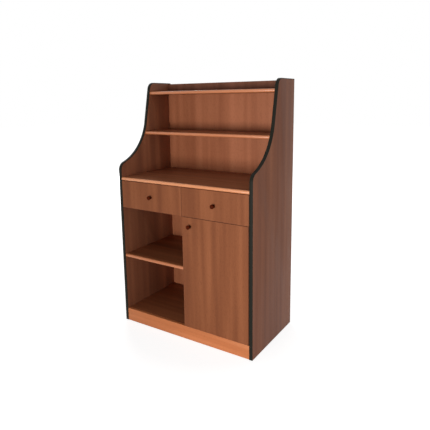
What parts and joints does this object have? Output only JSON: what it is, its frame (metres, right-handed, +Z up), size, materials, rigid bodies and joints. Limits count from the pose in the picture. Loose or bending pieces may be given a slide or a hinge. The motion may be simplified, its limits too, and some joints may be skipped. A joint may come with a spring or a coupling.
{
  "type": "waiter service station",
  "caption": "Free-standing laminated service cabinet with a hutch of shelves between shaped sides, a worktop, drawers, an open niche and a cupboard with a hinged door.",
  "frame": {"origin": "on the floor, under the middle of the outer box", "axes": "+Z up, front towards -Y, +X to the right of someone facing the front"},
  "size_m": [0.88, 0.51, 1.44],
  "materials": {
    "laminate": "cherry laminate, satin",
    "light_lipping": "light lipping, satin",
    "black_edge": "extruded edge band",
    "drawer_board": "melamine, matt",
    "knob": "dark turned knob",
    "zinc": "zinc plated",
    "glide": "moulded"
  },
  "bodies": {
    "carcass": {"side_panel_left": "laminate", "side_panel_right": "laminate", "edge_band_left": "black_edge", "edge_band_right": "black_edge", "back_panel": "laminate", "worktop": "laminate", "worktop_lipping": "light_lipping", "middle_shelf": "laminate", "middle_shelf_lipping": "light_lipping", "top_shelf": "laminate", "top_shelf_lipping": "light_lipping", "niche_shelf": "laminate", "niche_shelf_lipping": "light_lipping", "cupboard_shelf": "laminate", "plinth_front": "light_lipping", "plinth_rear": "laminate", "bottom_panel": "laminate", "partition": "laminate", "drawer_deck": "laminate", "drawer_divider": "laminate", "glide_front_left": "glide", "glide_rear_left": "glide", "glide_front_right": "glide", "glide_rear_right": "glide", "drawer_left_runner_outer_left": "zinc", "drawer_left_runner_outer_right": "zinc", "drawer_right_runner_outer_left": "zinc", "drawer_right_runner_outer_right": "zinc", "hinge_arm_lower": "zinc", "hinge_arm_upper": "zinc", "hinge_plate_lower": "zinc", "hinge_plate_upper": "zinc"},
    "drawer_left": {"drawer_left_front": "laminate", "drawer_left_side_left": "drawer_board", "drawer_left_side_right": "drawer_board", "drawer_left_back": "drawer_board", "drawer_left_floor": "drawer_board", "drawer_left_knob": "knob", "drawer_left_runner_inner_left": "zinc", "drawer_left_runner_inner_right": "zinc"},
    "drawer_right": {"drawer_right_front": "laminate", "drawer_right_side_left": "drawer_board", "drawer_right_side_right": "drawer_board", "drawer_right_back": "drawer_board", "drawer_right_floor": "drawer_board", "drawer_right_knob": "knob", "drawer_right_runner_inner_left": "zinc", "drawer_right_runner_inner_right": "zinc"},
    "runner_middles_left": {"drawer_left_runner_middle_left": "zinc", "drawer_left_runner_middle_right": "zinc"},
    "runner_middles_right": {"drawer_right_runner_middle_left": "zinc", "drawer_right_runner_middle_right": "zinc"},
    "door": {"door_panel": "laminate", "door_knob": "knob", "hinge_cup_lower": "zinc", "hinge_cup_upper": "zinc"},
    "hinge_links": {"hinge_link_lower": "zinc", "hinge_link_upper": "zinc"}
  },
  "joints": [
    {"name": "drawer_left_slide", "type": "slide", "parent": "carcass", "child": "drawer_left", "axis": [0, -1, 0], "range_m": [0, 0.35]},
    {"name": "drawer_right_slide", "type": "slide", "parent": "carcass", "child": "drawer_right", "axis": [0, -1, 0], "range_m": [0, 0.35]},
    {"name": "runner_middles_left_slide", "type": "slide", "parent": "carcass", "child": "runner_middles_left", "axis": [0, -1, 0], "range_m": [0, 0.175]},
    {"name": "runner_middles_right_slide", "type": "slide", "parent": "carcass", "child": "runner_middles_right", "axis": [0, -1, 0], "range_m": [0, 0.175]},
    {"name": "door_hinge", "type": "hinge", "parent": "carcass", "child": "door", "pos_m": [0.413, -0.225, 0.3985], "axis": [0, 0, 1], "range_deg": [0, 95]},
    {"name": "hinge_links_turn", "type": "hinge", "parent": "carcass", "child": "hinge_links", "pos_m": [0.3898, -0.2177, 0.3985], "axis": [0, 0, 1], "range_deg": [-48.8, 0]}
  ],
  "couplings": [
    {"joint": "runner_middles_left_slide", "follows": "drawer_left_slide", "ratio": 0.5},
    {"joint": "runner_middles_right_slide", "follows": "drawer_right_slide", "ratio": 0.5},
    {"joint": "hinge_links_turn", "follows": "door_hinge", "ratio": -0.51368}
  ]
}
